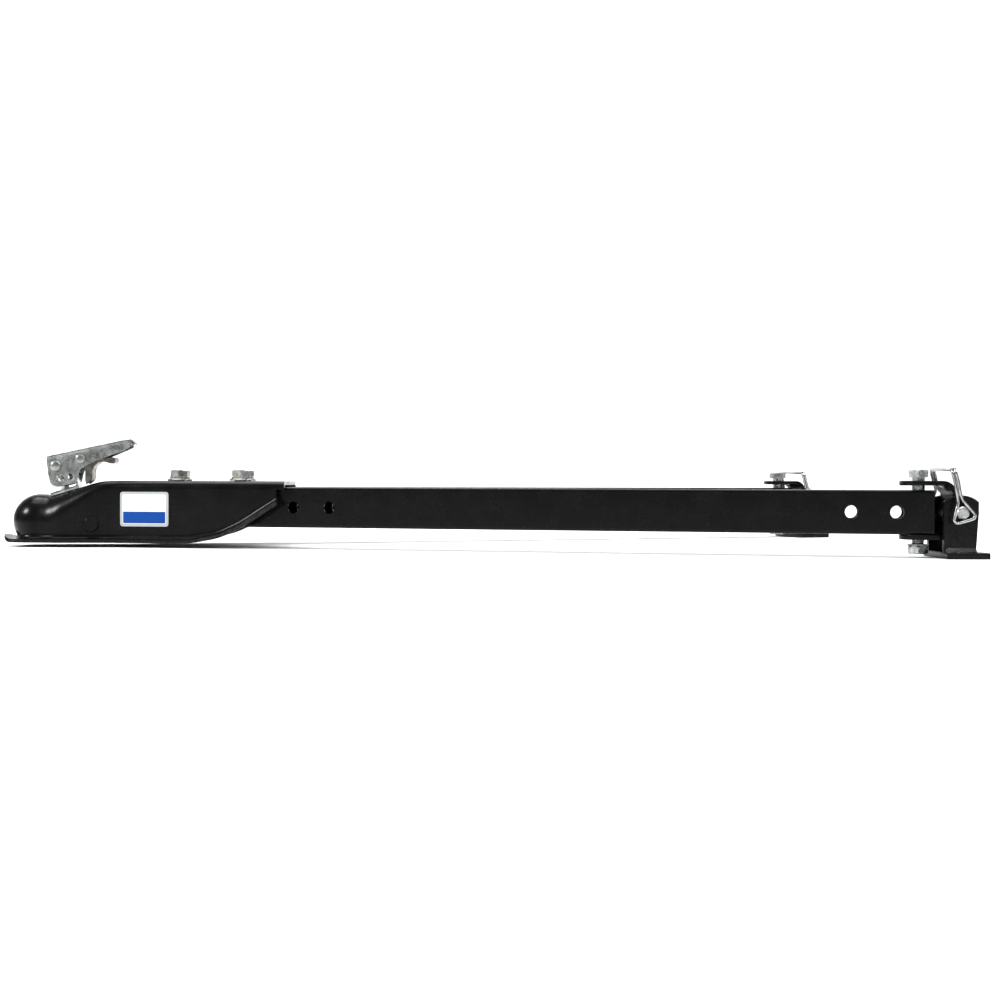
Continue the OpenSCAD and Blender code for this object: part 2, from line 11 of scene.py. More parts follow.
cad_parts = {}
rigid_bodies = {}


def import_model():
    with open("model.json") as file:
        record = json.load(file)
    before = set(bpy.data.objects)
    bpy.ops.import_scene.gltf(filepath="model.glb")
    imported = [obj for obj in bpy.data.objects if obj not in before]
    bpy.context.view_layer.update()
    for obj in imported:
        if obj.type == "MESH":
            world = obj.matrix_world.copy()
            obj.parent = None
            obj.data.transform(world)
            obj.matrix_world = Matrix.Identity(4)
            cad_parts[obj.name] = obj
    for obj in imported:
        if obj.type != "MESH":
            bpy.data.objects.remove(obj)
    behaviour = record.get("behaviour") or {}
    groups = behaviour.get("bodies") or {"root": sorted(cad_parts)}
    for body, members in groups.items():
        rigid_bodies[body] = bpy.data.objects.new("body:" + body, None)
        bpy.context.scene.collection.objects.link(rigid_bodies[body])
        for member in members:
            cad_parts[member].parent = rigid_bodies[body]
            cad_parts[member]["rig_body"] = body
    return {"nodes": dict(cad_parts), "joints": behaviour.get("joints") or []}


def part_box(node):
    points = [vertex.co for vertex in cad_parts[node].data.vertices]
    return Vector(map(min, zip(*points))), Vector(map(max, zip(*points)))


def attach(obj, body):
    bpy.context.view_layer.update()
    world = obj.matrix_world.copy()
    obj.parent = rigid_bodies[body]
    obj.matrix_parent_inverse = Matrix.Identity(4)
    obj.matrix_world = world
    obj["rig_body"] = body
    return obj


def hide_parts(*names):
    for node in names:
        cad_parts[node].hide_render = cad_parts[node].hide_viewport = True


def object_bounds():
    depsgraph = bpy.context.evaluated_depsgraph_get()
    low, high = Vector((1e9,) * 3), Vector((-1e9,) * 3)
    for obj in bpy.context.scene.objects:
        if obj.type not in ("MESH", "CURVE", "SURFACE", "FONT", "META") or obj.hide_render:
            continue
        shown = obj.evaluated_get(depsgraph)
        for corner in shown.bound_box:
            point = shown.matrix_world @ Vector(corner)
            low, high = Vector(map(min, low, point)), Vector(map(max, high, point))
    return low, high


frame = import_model()
cad_low, cad_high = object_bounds()

MM = 0.001
TURN = 2 * math.pi
MERGE = 2e-6                # points closer than this are one, in metres
ALL_SMOOTH = 181            # an angle that leaves no hard edge, in degrees
SIDES = ("near", "far")
joints = {joint["name"]: joint for joint in frame["joints"]}

# Pressed coupler, from the ball centre
DOME_R = 30
SHELL_T = 4.2
RIM_W = 8                   # how far the bottom rim stands out from the walls
DOME_RIM_W = 9.3
RIM_BEND_R = 5
TUCK_DEPTH = 16             # the dome's front wraps round the ball down to here
LIP_LIFT = 4.6              # how far the lip turns up in front
LIP_THIN = 0.6              # how much of its thickness the lip loses towards its tip
BODY_HALF_W = 36
REAR_HALF_W = 82
SHOULDER_X = 30             # where the dome has widened into the body
FLARE_X = 87                # where the walls start to spread
WALL_REAR_X = 272
SLOPE_START = (13.4, 27.2)
SLOPE_END_X = 73.5
CORNER_R = 9
RIM_RISE = [(0, 0), (150, 0), (179, 0.7), (208.6, 6.2), (233, 17.7), (WALL_REAR_X, 43), (290, 54.7)]
STEM_HOLE_R = 5.25
PIVOT_HOLE_R = 4.96
CROSS_HOLE_R = 6.05         # for the ball clamp's pin

# Label
LABEL_BORDER = 3
LABEL_BAND = 0.4            # the band's share of the field's height
FILM_ROOT = 0.25            # how deep a film's edge reaches into the wall

# Inch fasteners: 3/8-16 at the coupler, 1/2-13 at the yokes
SMALL_R = 4.76
SMALL_PITCH = 1.5875
SMALL_AF = 14.3
LARGE_R = 6.35
LARGE_PITCH = 1.954
LARGE_AF = 19.05
FLAT_WASHER_R = 10.3
FLAT_WASHER_T = 2.1
LOCK_WASHER_R = 8
HEX_CROWN = 0.47            # radius of a hexagon's round crown, as a share of its size across flats
LARGE_HEAD_H = 7.9
NUT_FLANGE_R = 10.9
NUT_FLANGE_H = 2.2
RIVET_RISE = 2.6            # how far a rivet's head stands up

# Hitch brackets, from the hitch pin
EAR_OUTER_Y = 25.6
EAR_HALF = 17.3
PLATE_TOP = -39.25
WELD_LEG = 5.6
WIRE_R = 1.5
BAIL_PIVOT_Y = 28
BAIL_Y = 32.8
BAIL_H = 44.5
BAIL_LEAN = 15
BAIL_R = 5

# ---- measures of the frame ----


def joint_point(name):
    """A joint's place, in millimetres."""
    return Vector(joints[name]["pos_m"]) / MM


def box(node):
    """A CAD node's lowest and highest corners, in millimetres."""
    low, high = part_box(node)
    return low / MM, high / MM


def box_middle(node):
    low, high = box(node)
    return (low + high) / 2


def axes(x, y, z, origin):
    """The matrix whose columns are those three directions and that origin."""
    place = Matrix.Identity(4)
    for column, vector in enumerate((x, y, z, origin)):
        for row in range(3):
            place[row][column] = vector[row]
    return place


def upright(point, turn=0):
    """A place with Z up, turned by that many degrees."""
    return Matrix.Translation(point) @ Matrix.Rotation(math.radians(turn), 4, "Z")


def side_place(start, end, side, origin):
    """X from one joint to the next, Z up and Y towards the bar's centre line."""
    x = (joint_point(end) - joint_point(start)).normalized()
    y = Vector((0, 0, 1)).cross(x) * (1 if side == "near" else -1)
    return axes(x, y, Vector((0, 0, 1)), origin)


def pin_place(side):
    pin = joint_point(side + "_bracket_tilt")
    return side_place(side + "_yoke_swivel", side + "_bracket_tilt", side, pin)


stem_axis = -Vector(joints["stem_draw"]["axis"])
stem_side = Vector((0, 1, 0)).cross(stem_axis)
stem_place = axes(stem_side, Vector((0, 1, 0)), stem_axis, box_middle("clamp_spring"))

# ---- mesh helpers: a form is its points and its faces ----


def grid(rows):
    """Four-sided faces between rows that have the same number of points."""
    count = len(rows[0])
    faces = []
    for i in range(len(rows) - 1):
        for j in range(count - 1):
            a = i * count + j
            faces.append((a, a + 1, a + count + 1, a + count))
    return [point for row in rows for point in row], faces


def join(*forms):
    points = []
    faces = []
    for form_points, form_faces in forms:
        start = len(points)
        points += form_points
        faces += [tuple(start + i for i in face) for face in form_faces]
    return points, faces


def moved(form, place):
    return [place @ Vector(point) for point in form[0]], form[1]


def round_rows(rings, sides=72):
    """A form of revolution. A ring gives a radius and a height, or a function of the angle that does."""
    rows = []
    for ring in rings:
        row = []
        for i in range(sides + 1):
            a = TURN * (i % sides) / sides
            r, z = ring(a) if callable(ring) else ring
            row.append((r * math.cos(a), r * math.sin(a), z))
        rows.append(row)
    return grid(rows)


def hexagon(af, a):
    """Distance from a hexagon's middle to its edge at the angle a."""
    sixth = TURN / 6
    return af / 2 / math.cos((a + sixth / 2) % sixth - sixth / 2)


def hex_ring(af, z, cut=0):
    """A hexagon's edge at the height z, where a cone of 30 degrees has cut the corners by that sign."""
    crown = HEX_CROWN * af
    return lambda a: (hexagon(af, a), z - cut * (hexagon(af, a) - crown) * math.tan(TURN / 12))


def hex_head(af, h):
    """A bolt's head with a low washer face under it and a shallow dish in its top."""
    crown = HEX_CROWN * af
    face = 0.4
    dish = 0.3
    return round_rows([(0, 0), (crown, 0), (crown, face), hex_ring(af, face), hex_ring(af, h, 1), (crown, h),
                       (crown * 0.84, h), (crown * 0.8, h - dish), (0, h - dish)])


def hex_nut(af, h, bore):
    crown = HEX_CROWN * af
    chamfer = 0.7
    rings = [(bore, chamfer), (bore + chamfer, 0), (crown, 0), hex_ring(af, 0, -1),
             hex_ring(af, h, 1), (crown, h), (bore + chamfer, h), (bore, h - chamfer)]
    return round_rows(rings + rings[:1])


def washer(outer, bore, t, edge=0.35):
    rings = [(bore, edge), (bore + edge, 0), (outer - edge, 0), (outer, edge),
             (outer, t - edge), (outer - edge, t), (bore + edge, t), (bore, t - edge)]
    return round_rows(rings + rings[:1])


def split_washer(outer, bore, t, gap=7, rise=0.35):
    """A spring lock washer: one square turn of wire, cut through and slightly stepped."""
    edge = 0.3
    corners = [(bore, 0), (outer - edge, 0), (outer, edge), (outer, t - edge), (outer - edge, t), (bore, t)]
    rows = []
    steps = 60
    for i in range(steps + 1):
        a = math.radians(gap / 2 + (360 - gap) * i / steps)
        lift = rise * (i / steps - 0.5)
        rows.append([(r * math.cos(a), r * math.sin(a), z * (t - rise) / t + rise / 2 + lift)
                     for r, z in corners + corners[:1]])
    body = grid(rows)
    last = len(body[0]) - len(corners) - 1
    ends = [tuple(range(len(corners))), tuple(last + i for i in range(len(corners)))]
    return body[0], body[1] + ends


def thread(r, pitch, low, high, sides=36, steps=8):
    """A threaded rod from one height to another, with a chamfered lower end."""
    depth = 0.5 * pitch
    chamfer = 0.8 * pitch

    def point(i, z):
        z = min(max(z, low), high)
        phase = ((z - low) / pitch - i / sides) % 1
        radius = r - depth * min(1, max(0, 1.2 * abs(2 * phase - 1) - 0.1))
        radius = min(radius, r - depth * max(0, 1 - (z - low) / chamfer) - 0.02)
        a = TURN * (i % sides) / sides
        return radius * math.cos(a), radius * math.sin(a), z

    rows = [[(0, 0, low)] * (sides + 1)]
    for j in range(-steps, math.ceil((high - low) / pitch * steps) + 1):
        rows.append([point(i, low + pitch * (j / steps + i / sides)) for i in range(sides + 1)])
    rows.append([(0, 0, high)] * (sides + 1))
    return grid(rows)


def flow(points, step):
    """A smooth run of points through those given, about step apart."""
    points = [Vector(point) for point in points]
    result = []
    for i in range(len(points) - 1):
        before = points[max(i - 1, 0)]
        after = points[min(i + 2, len(points) - 1)]
        start, end = points[i], points[i + 1]
        pieces = max(1, round((end - start).length / step))
        for k in range(pieces):
            t = k / pieces
            pull_start = (end - before) / 2
            pull_end = (after - start) / 2
            result.append((2 * t ** 3 - 3 * t ** 2 + 1) * start + (t ** 3 - 2 * t ** 2 + t) * pull_start
                          + (3 * t ** 2 - 2 * t ** 3) * end + (t ** 3 - t ** 2) * pull_end)
    return result + [points[-1]]


def sweep(path, r, sides=14):
    """A round wire along a path, with softly rounded ends."""
    path = [Vector(point) for point in path]
    end = len(path) - 1
    tangents = [(path[min(i + 1, end)] - path[max(i - 1, 0)]).normalized() for i in range(end + 1)]
    tip = ((0.3, r * 0.6), (0.35, 0))
    stations = [(path[0] - tangents[0] * r * reach, radius, 0) for reach, radius in reversed(tip)]
    stations += [(path[i], r, i) for i in range(end + 1)]
    stations += [(path[end] + tangents[end] * r * reach, radius, end) for reach, radius in tip]
    across = tangents[0].orthogonal().normalized()
    rows = []
    for place, radius, index in stations:
        across = (across - tangents[index] * across.dot(tangents[index])).normalized()
        over = tangents[index].cross(across)
        angles = [TURN * i / sides for i in range(sides + 1)]
        rows.append([place + radius * (math.cos(a) * across + math.sin(a) * over) for a in angles])
    return grid(rows)


def shade(mesh_data, angle):
    """Smooth shading, with hard edges where faces meet at more than that many degrees."""
    work = bmesh.new()
    work.from_mesh(mesh_data)
    for face in work.faces:
        face.smooth = True
    for edge in work.edges:
        edge.smooth = len(edge.link_faces) == 2 and edge.calc_face_angle(0) < math.radians(angle)
    work.to_mesh(mesh_data)
    work.free()


def mesh_object(name, form, flat=False):
    """An object made of one form, cleaned, with its flat stretches as single faces if flat is set."""
    work = bmesh.new()
    points = [work.verts.new(Vector(point) * MM) for point in form[0]]
    for face in form[1]:
        corners = [points[i] for i in face]
        if work.faces.get(corners) is None:
            work.faces.new(corners)
    bmesh.ops.remove_doubles(work, verts=work.verts, dist=MERGE)
    bmesh.ops.dissolve_degenerate(work, edges=work.edges, dist=MERGE)
    if flat:
        bmesh.ops.dissolve_limit(work, angle_limit=math.radians(0.6), verts=work.verts, edges=work.edges)
    loose = [vertex for vertex in work.verts if not vertex.link_faces]
    bmesh.ops.delete(work, geom=loose, context="VERTS")
    bmesh.ops.recalc_face_normals(work, faces=work.faces)
    data = bpy.data.meshes.new(name)
    work.to_mesh(data)
    work.free()
    obj = bpy.data.objects.new(name, data)
    bpy.context.scene.collection.objects.link(obj)
    return obj


def finish_piece(obj, look, body, nodes=()):
    """Gives an object its look, and rides it on a body in place of CAD nodes."""
    obj.data.materials.clear()
    obj.data.materials.append(look)
    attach(obj, body)
    if nodes:
        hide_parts(*nodes)
    return obj


def piece(name, form, look, body, nodes=(), angle=35):
    obj = mesh_object(name, form)
    shade(obj.data, angle)
    return finish_piece(obj, look, body, nodes)


def soft_edges(obj, width, steps=2, angle=32):
    """Rounds an object's edges, and keeps its flat faces looking flat."""
    edges = obj.modifiers.new("edges", "BEVEL")
    edges.width = width * MM
    edges.segments = steps
    edges.limit_method = "ANGLE"
    edges.angle_limit = math.radians(angle)
    edges.use_clamp_overlap = False
    normals = obj.modifiers.new("normals", "WEIGHTED_NORMAL")
    normals.keep_sharp = True


def bake(obj):
    """Puts the result of an object's modifiers into its mesh."""
    graph = bpy.context.evaluated_depsgraph_get()
    data = bpy.data.meshes.new_from_object(obj.evaluated_get(graph))
    obj.modifiers.clear()
    obj.data = data


def finished(name, look, width):
    """A CAD node's own shape with rounded edges, which stands for the node."""
    source = frame["nodes"][name]
    points = [vertex.co / MM for vertex in source.data.vertices]
    form = (points, [tuple(face.vertices) for face in source.data.polygons])
    obj = mesh_object(name + ".final", form, flat=True)
    shade(obj.data, ALL_SMOOTH)
    soft_edges(obj, width)
    return finish_piece(obj, look, source["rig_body"], [name])


# ---- materials ----


def shader(name, metallic, roughness, colour, **more):
    """A new material, its node tree and its shader. An underscore in a socket's name stands for a space."""
    look = bpy.data.materials.new(name)
    look.use_nodes = True
    surface = look.node_tree.nodes["Principled BSDF"]
    surface.inputs["Metallic"].default_value = metallic
    surface.inputs["Roughness"].default_value = roughness
    surface.inputs["Base Color"].default_value = (*colour, 1)
    for socket, value in more.items():
        surface.inputs[socket.replace("_", " ")].default_value = value
    return look, look.node_tree, surface


def node(tree, kind, **values):
    made = tree.nodes.new(kind)
    for socket, value in values.items():
        made.inputs[socket.replace("_", " ")].default_value = value
    return made


def cloud(tree, scale, low, high, detail=4, stretch=(1, 1, 1), window=(0.35, 0.65)):
    """A noise in the object's own space, in bumps per metre, spread between two values."""
    place = tree.nodes.new("ShaderNodeTexCoord")
    mapping = node(tree, "ShaderNodeMapping", Scale=stretch)
    speckle = node(tree, "ShaderNodeTexNoise", Scale=scale, Detail=detail, Roughness=0.55)
    spread = node(tree, "ShaderNodeMapRange", From_Min=window[0], From_Max=window[1], To_Min=low, To_Max=high)
    tree.links.new(place.outputs["Object"], mapping.inputs["Vector"])
    tree.links.new(mapping.outputs["Vector"], speckle.inputs["Vector"])
    tree.links.new(speckle.outputs["Fac"], spread.inputs["Value"])
    return spread.outputs["Result"]


def blend_colours(tree, share, first, second):
    """Goes from the first colour to the second by share. Each colour is three numbers or a socket."""
    mix = tree.nodes.new("ShaderNodeMix")
    mix.data_type = "RGBA"
    colours = [socket for socket in mix.inputs if socket.type == "RGBA"]
    for socket, colour in zip(colours, (first, second)):
        if isinstance(colour, tuple):
            socket.default_value = (*colour, 1)
        else:
            tree.links.new(colour, socket)
    tree.links.new(share, mix.inputs["Factor"])
    return [socket for socket in mix.outputs if socket.type == "RGBA"][0]


def multiply(tree, first, second):
    maths = tree.nodes.new("ShaderNodeMath")
    maths.operation = "MULTIPLY"
    tree.links.new(first, maths.inputs[0])
    tree.links.new(second, maths.inputs[1])
    return maths.outputs[0]


def relief(tree, surface, height, strength, depth):
    bump = node(tree, "ShaderNodeBump", Strength=strength, Distance=depth * MM)
    tree.links.new(height, bump.inputs["Height"])
    tree.links.new(bump.outputs["Normal"], surface.inputs["Normal"])


def painted_edge_highlight(tree, start, full):
    """Painted highlight: a share that is high along sharp outer edges, broken up by noise."""
    shape = tree.nodes.new("ShaderNodeNewGeometry")
    spread = node(tree, "ShaderNodeMapRange", From_Min=start, From_Max=full, To_Min=0, To_Max=1)
    tree.links.new(shape.outputs["Pointiness"], spread.inputs["Value"])
    return multiply(tree, spread.outputs["Result"], cloud(tree, 240, 0, 1))


def coat_look(name, grain, depth, gloss, specular):
    """Black powder coat: orange peel, faint dust, and a painted highlight that makes sharp edges slightly
    paler.
    """
    look, tree, surface = shader(name, 0, 0.4, (0.004, 0.004, 0.0043), Specular_IOR_Level=specular)
    body = blend_colours(tree, cloud(tree, 55, 0, 1), (0.002, 0.002, 0.0021), (0.0036, 0.0036, 0.0038))
    # Painted highlight: sharp outer edges are mixed towards a paler grey
    colour = blend_colours(tree, painted_edge_highlight(tree, 0.54, 0.68), body, (0.02, 0.02, 0.021))
    tree.links.new(colour, surface.inputs["Base Color"])
    tree.links.new(cloud(tree, 34, gloss, gloss + 0.09, detail=6), surface.inputs["Roughness"])
    relief(tree, surface, cloud(tree, grain, 0, 1, detail=3), 0.35, depth)
    return look


def metal_look(name, dark, bright, rough, blotch=130, grain=2600, depth=0.02):
    """Plated steel: cloudy passivation, fine drawn grain and duller patches."""
    look, tree, surface = shader(name, 1, 0.35, bright)
    patches = blend_colours(tree, cloud(tree, blotch, 0, 1, detail=5), dark, bright)
    fine = blend_colours(tree, cloud(tree, blotch * 7, 0, 0.3), patches, dark)
    tree.links.new(fine, surface.inputs["Base Color"])
    dull = cloud(tree, blotch * 1.7, rough - 0.09, rough + 0.1, detail=5)
    tree.links.new(dull, surface.inputs["Roughness"])
    relief(tree, surface, cloud(tree, grain, 0, 1, stretch=(0.12, 1, 1)), 0.4, depth)
    return look


def film_look(name, colour, rough):
    """Printed film: a slight mottle in its ink and a satin surface."""
    look, tree, surface = shader(name, 0, rough, colour, Specular_IOR_Level=0.15)
    pale = tuple(min(1, channel * 1.12) for channel in colour)
    tree.links.new(blend_colours(tree, cloud(tree, 900, 0, 1), colour, pale), surface.inputs["Base Color"])
    tree.links.new(cloud(tree, 120, rough - 0.05, rough + 0.08), surface.inputs["Roughness"])
    relief(tree, surface, cloud(tree, 1500, 0, 1), 0.2, 0.01)
    return look


COAT = coat_look("black_coat", 620, 0.04, 0.2, 0.12)
WELD_COAT = coat_look("black_weld_coat", 1100, 0.3, 0.12, 0.6)
ZINC = metal_look("bright_zinc", (0.24, 0.255, 0.25), (0.62, 0.64, 0.63), 0.27)
LEVER_ZINC = metal_look("lever_zinc", (0.2, 0.21, 0.2), (0.4, 0.42, 0.41), 0.3, blotch=110)
RIVET_ZINC = metal_look("rivet_zinc", (0.2, 0.21, 0.2), (0.34, 0.355, 0.345), 0.4, blotch=90)
TRIGGER_ZINC = metal_look("trigger_zinc", (0.07, 0.068, 0.06), (0.17, 0.165, 0.145), 0.36, blotch=150)
WARM_ZINC = metal_look("warm_zinc", (0.26, 0.22, 0.17), (0.52, 0.45, 0.36), 0.34)
WIRE = metal_look("spring_wire", (0.22, 0.225, 0.215), (0.5, 0.51, 0.49), 0.19, blotch=90)
CAST = metal_look("forged_jaw", (0.12, 0.12, 0.125), (0.25, 0.25, 0.26), 0.5, blotch=170, grain=700,
                  depth=0.15)
FILM_SILVER = film_look("film_silver", (0.36, 0.37, 0.385), 0.34)
FILM_WHITE = film_look("film_white", (0.78, 0.79, 0.8), 0.42)
FILM_BLUE = film_look("film_blue", (0.0005, 0.045, 0.24), 0.5)

# ---- the pressed coupler body ----


def ease(low, high, value):
    """0 below low, 1 above high, and a smooth rise between."""
    t = min(max((value - low) / (high - low), 0), 1)
    return t * t * (3 - 2 * t)


def soft_max(a, b, blend):
    return (a + b + math.hypot(a - b, blend)) / 2


def soft_min(a, b, blend):
    return (a + b - math.hypot(a - b, blend)) / 2


roof_z = box("coupler_body")[1].z
rim_z = box("coupler_body")[0].z
roof_rear_x = box("coupler_body")[1].x
slope = (roof_z - SLOPE_START[1]) / (SLOPE_END_X - SLOPE_START[0])


def half_width(x):
    """Half the body's width: the dome, then level walls, then walls that spread to the rear."""
    spread = (REAR_HALF_W - BODY_HALF_W) / (WALL_REAR_X - FLARE_X)
    body = DOME_R + (BODY_HALF_W - DOME_R) * ease(0, SHOULDER_X, x)
    return body + spread * soft_max(x - FLARE_X, 0, 3)


def roof_height(x):
    """Height of the outside: over the dome, up the slope and level to the rear."""
    dome = math.sqrt(max(DOME_R ** 2 - x * x, 0))
    line = SLOPE_START[1] + slope * (x - SLOPE_START[0])
    if x < SLOPE_START[0] * 2:
        blend = 3.5 * ease(0, 9, x)
        line = soft_max(dome, line, blend)
    return min(soft_min(line, roof_z, 2.2) + 0.02, roof_z) if x < SLOPE_END_X * 1.6 else roof_z


def rim_height(x):
    """Height of the walls' bottom edge: level, then sweeping up to the rear."""
    for (x0, z0), (x1, z1) in zip(RIM_RISE, RIM_RISE[1:]):
        if x <= x1:
            return rim_z + z0 + (z1 - z0) * (x - x0) / (x1 - x0)
    return rim_z + RIM_RISE[-1][1]


def smooth_rim_height(x):
    reach = 7
    return sum(rim_height(max(x + reach * k / 3, 0)) for k in range(-3, 4)) / 7


def half_section(x):
    """Half a cross-section's outside, from the rim's lip up the wall and over to the middle of the roof."""
    w = half_width(x)
    top = roof_height(x)
    low = smooth_rim_height(x) + SHELL_T
    lip = w + DOME_RIM_W + (RIM_W - DOME_RIM_W) * ease(0, SHOULDER_X, x)
    corner = CORNER_R + (DOME_R - CORNER_R) * (1 - ease(6, 86, x))
    section = [(lip - (lip - w - RIM_BEND_R) * k / 3, low) for k in range(3)]
    for k in range(8):
        a = math.radians(90 * k / 7)
        section.append((w + RIM_BEND_R * (1 - math.sin(a)), low + RIM_BEND_R * (1 - math.cos(a))))
    start = low + RIM_BEND_R
    section += [(w, start + (top - corner - start) * k / 7) for k in range(1, 7)]
    wall_points = len(section)
    for k in range(13):
        a = math.radians(90 * k / 12)
        section.append((w - corner * (1 - math.cos(a)), top - corner * (1 - math.sin(a))))
    section += [((w - corner) * (1 - k / 8), top) for k in range(1, 9)]
    return section, wall_points


def dome_section(turn):
    """The half section at x = 0 turned about Z, with the wall tucked in and the lip lifted in front."""
    share = math.sin(turn) ** 2
    points = []
    for y, z in half_section(0)[0]:
        below = min(max(-z, 0), TUCK_DEPTH)
        tuck = DOME_R - math.sqrt(DOME_R ** 2 - below ** 2)
        r = y - share * tuck * (1 - ease(DOME_R + 1, DOME_R + RIM_BEND_R + 2, y))
        lift = LIP_LIFT * share * ease(DOME_R - 4, DOME_R + DOME_RIM_W, r * math.sin(turn))
        points.append((-r * math.sin(turn), r * math.cos(turn), z + lift))
    return points


def coupler_skin():
    """Outer skin: a turned dome in front, then cross-sections to the rear, the last ones with a roof only."""
    fine_to, coarse_to = 60, 270
    stations = [fine_to * k / 40 for k in range(40)]
    stations += [fine_to + 3 * k for k in range(70)] + [coarse_to, WALL_REAR_X]
    rows = []
    for x in stations:
        section = half_section(x)[0]
        rows.append([(x, y, z) for y, z in section] + [(x, -y, z) for y, z in reversed(section[:-1])])
    walls = grid(rows)
    turns = 64
    dome = grid([dome_section(math.pi * i / turns) for i in range(turns + 1)])
    tail_rows = []
    for x in (WALL_REAR_X, WALL_REAR_X + 3, WALL_REAR_X + 6, roof_rear_x):
        section, wall_points = half_section(x)
        roof = section[wall_points:]
        tail_rows.append([(x, y, z) for y, z in roof] + [(x, -y, z) for y, z in reversed(roof[:-1])])
    return join(walls, dome, grid(tail_rows))


def slot_cutter(side):
    """The space that a lock bolt's curved slot takes out of the roof."""
    pivot = joint_point(side + "_arm_swing")
    lock = box_middle(side + "_lock_washers")
    radius = math.hypot(lock.x - pivot.x, lock.y - pivot.y)
    half = SMALL_R + 0.35
    out, inward = joints[side + "_arm_swing"]["range_deg"]
    sign = joints[side + "_arm_swing"]["axis"][2]
    rest = math.atan2(lock.y - pivot.y, lock.x - pivot.x)
    angles = [rest + sign * math.radians(out - 0.4 + (inward - out + 0.8) * k / 24) for k in range(25)]
    outline = [(radius + half, a) for a in angles]
    ends = [(angles[-1], 1), (angles[0], -1)]
    rim = [(pivot.x + r * math.cos(a), pivot.y + r * math.sin(a)) for r, a in outline]
    for index, (end, direction) in enumerate(ends):
        centre = (pivot.x + radius * math.cos(end), pivot.y + radius * math.sin(end))
        for k in range(1, 12):
            a = end + direction * sign * math.pi * k / 12 + (math.pi if index else 0)
            rim.append((centre[0] + half * math.cos(a), centre[1] + half * math.sin(a)))
        if index == 0:
            rim += [(pivot.x + (radius - half) * math.cos(a), pivot.y + (radius - half) * math.sin(a))
                    for a in reversed(angles)]
    low, high = roof_z - SHELL_T - 3, roof_z + 3
    count = len(rim)
    walls = [(i, (i + 1) % count, count + (i + 1) % count, count + i) for i in range(count)]
    caps = [tuple(range(count)), tuple(range(count, 2 * count))]
    return [(x, y, z) for z in (low, high) for x, y in rim], walls + caps


def rod(r, length, place):
    """A plain cutter for a round hole, centred on its place."""
    half = length / 2
    return moved(round_rows([(0, -half), (r, -half), (r, half), (0, half)], 48), place)


def coupler_shell():
    """The pressed body: its skin thickened inwards, with rounded edges, slots and bolt holes."""
    shell = mesh_object("coupler_shell", coupler_skin())
    top = max(shell.data.polygons, key=lambda face: face.center.z)
    if top.normal.z < 0:
        shell.data.flip_normals()
    sheet = shell.modifiers.new("sheet", "SOLIDIFY")
    sheet.thickness = SHELL_T * MM
    sheet.offset = -1
    sheet.use_even_offset = True
    sheet.use_quality_normals = True
    thin = shell.vertex_groups.new(name="thin")
    for vertex in shell.data.vertices:
        forward = -vertex.co.x / MM
        thin.add([vertex.index], 1 - LIP_THIN * ease(DOME_R, DOME_R + DOME_RIM_W, forward), "REPLACE")
    sheet.vertex_group = "thin"
    edges = shell.modifiers.new("edges", "BEVEL")
    edges.width = 0.8 * MM
    edges.segments = 3
    edges.limit_method = "ANGLE"
    edges.angle_limit = math.radians(60)
    bake(shell)
    cutters = [slot_cutter(side) for side in SIDES]
    for side in SIDES:
        pivot = joint_point(side + "_arm_swing")
        cutters.append(rod(PIVOT_HOLE_R, 20, Matrix.Translation((pivot.x, pivot.y, roof_z))))
    rise = box_middle("latch_saddle").z - box_middle("clamp_spring").z
    hole = stem_place @ Matrix.Translation((0, 0, rise))
    cutters.append(rod(STEM_HOLE_R, 30, hole))
    cross = Matrix.Translation(box_middle("clamp_pivot_pin")) @ Matrix.Rotation(TURN / 4, 4, "X")
    cutters.append(rod(CROSS_HOLE_R, 200, cross))
    for index, form in enumerate(cutters):
        tool = mesh_object(f"cutter_{index}", form)
        cut = shell.modifiers.new("hole", "BOOLEAN")
        cut.object = tool
        cut.solver = "EXACT"
        bake(shell)
        bpy.data.objects.remove(tool)
    shade(shell.data, 40)
    normals = shell.modifiers.new("normals", "WEIGHTED_NORMAL")
    normals.keep_sharp = True
    return finish_piece(shell, COAT, "coupler", ["coupler_body"])


def rounded_outline(w, h, r, square_top=False):
    """A rectangle's outline about its middle, with rounded corners, or with them at the bottom only."""
    outline = []
    for sx, sz, start in ((1, 1, 0), (-1, 1, 90), (-1, -1, 180), (1, -1, 270)):
        bend = 0.01 if square_top and sz > 0 else r
        for k in range(7):
            a = math.radians(start + 15 * k)
            corner_x = sx * (w / 2 - bend)
            corner_z = sz * (h / 2 - bend)
            outline.append((corner_x + bend * math.cos(a), corner_z + bend * math.sin(a)))
    return outline


def film_form(width, height, r, drop, t, square_top):
    """A thin plate facing Z, lowered by drop, whose face is t above the wall."""
    outline = rounded_outline(width, height, r, square_top)
    outline.append(outline[0])
    return grid([[(0, drop, -FILM_ROOT)] * len(outline), [(x, z + drop, -FILM_ROOT) for x, z in outline],
                 [(x, z + drop, t) for x, z in outline], [(0, drop, t)] * len(outline)])


